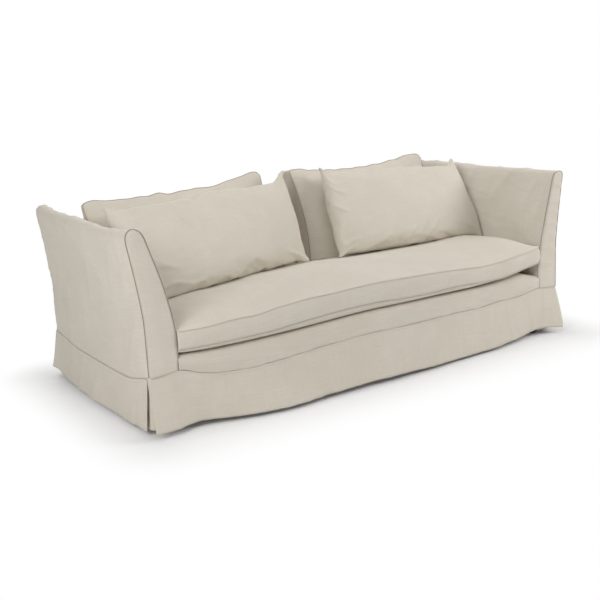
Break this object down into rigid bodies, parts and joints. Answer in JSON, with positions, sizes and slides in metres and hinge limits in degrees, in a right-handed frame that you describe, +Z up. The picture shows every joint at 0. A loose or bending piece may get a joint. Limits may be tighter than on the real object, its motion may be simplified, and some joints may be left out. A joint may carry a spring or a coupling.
{
  "type": "slipcovered sofa with flared arms",
  "caption": "Slipcovered sofa with flared arms, bowed bench seat, loose back cushions, lumbar pillows and a skirt to the floor with kick pleats.",
  "frame": {"origin": "on the floor, under the middle of the sofa's box in plan", "axes": "+X towards the sofa's own left arm seen from behind, which is the right arm in the picture; -Y towards the seat's front; +Z up"},
  "size_m": [2.3264, 1.1024, 0.8722],
  "materials": {
    "linen_cover": "heavy plain-woven linen and cotton, warm oatmeal, matt",
    "wadding": "foam deck under a plain cotton lining",
    "hardwood": "sawn and planed beech, unfinished",
    "dark_wood": "turned hardwood, dark stain and satin lacquer",
    "webbing": "woven elastic upholstery webbing",
    "steel": "zinc-plated steel"
  },
  "bodies": {
    "root": {"foot_front_left": "dark_wood", "foot_bolt_front_left": "steel", "corner_block_front_left": "hardwood", "foot_front_right": "dark_wood", "foot_bolt_front_right": "steel", "corner_block_front_right": "hardwood", "foot_back_left": "dark_wood", "foot_bolt_back_left": "steel", "corner_block_back_left": "hardwood", "foot_back_right": "dark_wood", "foot_bolt_back_right": "steel", "corner_block_back_right": "hardwood", "side_rail_left": "hardwood", "side_rail_right": "hardwood", "front_rail": "hardwood", "back_rail": "hardwood", "seat_rail": "hardwood", "centre_rail": "hardwood", "seat_webbing_1": "webbing", "seat_webbing_2": "webbing", "seat_webbing_3": "webbing", "seat_webbing_4": "webbing", "seat_webbing_5": "webbing", "seat_webbing_6": "webbing", "seat_webbing_7": "webbing", "seat_webbing_8": "webbing", "seat_platform": "wadding", "front_band_cover": "linen_cover", "arm_cover_left": "linen_cover", "arm_front_panel_left": "linen_cover", "arm_front_post_left": "hardwood", "arm_back_post_left": "hardwood", "arm_top_rail_left": "hardwood", "arm_cover_right": "linen_cover", "arm_front_panel_right": "linen_cover", "arm_front_post_right": "hardwood", "arm_back_post_right": "hardwood", "arm_top_rail_right": "hardwood", "back_cover": "linen_cover", "back_post_left": "hardwood", "back_post_centre": "hardwood", "back_post_right": "hardwood", "back_webbing_1": "webbing", "back_webbing_2": "webbing", "back_webbing_3": "webbing", "back_top_rail": "hardwood", "skirt_front": "linen_cover", "skirt_back": "linen_cover", "skirt_left": "linen_cover", "skirt_right": "linen_cover", "pleat_front_left": "linen_cover", "pleat_front_right": "linen_cover", "pleat_back_left": "linen_cover", "pleat_back_right": "linen_cover"},
    "seat_cushion": {"seat_cushion": "linen_cover"},
    "back_cushion_left": {"back_cushion_left": "linen_cover"},
    "back_cushion_right": {"back_cushion_right": "linen_cover"},
    "pillow_left": {"pillow_left": "linen_cover"},
    "pillow_right": {"pillow_right": "linen_cover"}
  },
  "joints": [
    {"name": "seat_cushion_slide", "type": "slide", "parent": "root", "child": "seat_cushion", "axis": [0, -1, 0], "range_m": [0, 0.3]},
    {"name": "back_cushion_left_lift", "type": "slide", "parent": "seat_cushion", "child": "back_cushion_left", "axis": [0, -0.5, 0.866], "range_m": [0, 0.3]},
    {"name": "back_cushion_right_lift", "type": "slide", "parent": "seat_cushion", "child": "back_cushion_right", "axis": [0, -0.5, 0.866], "range_m": [0, 0.3]},
    {"name": "pillow_left_lift", "type": "slide", "parent": "back_cushion_left", "child": "pillow_left", "axis": [0, -0.5, 0.866], "range_m": [0, 0.25]},
    {"name": "pillow_right_lift", "type": "slide", "parent": "back_cushion_right", "child": "pillow_right", "axis": [0, -0.5, 0.866], "range_m": [0, 0.25]}
  ]
}
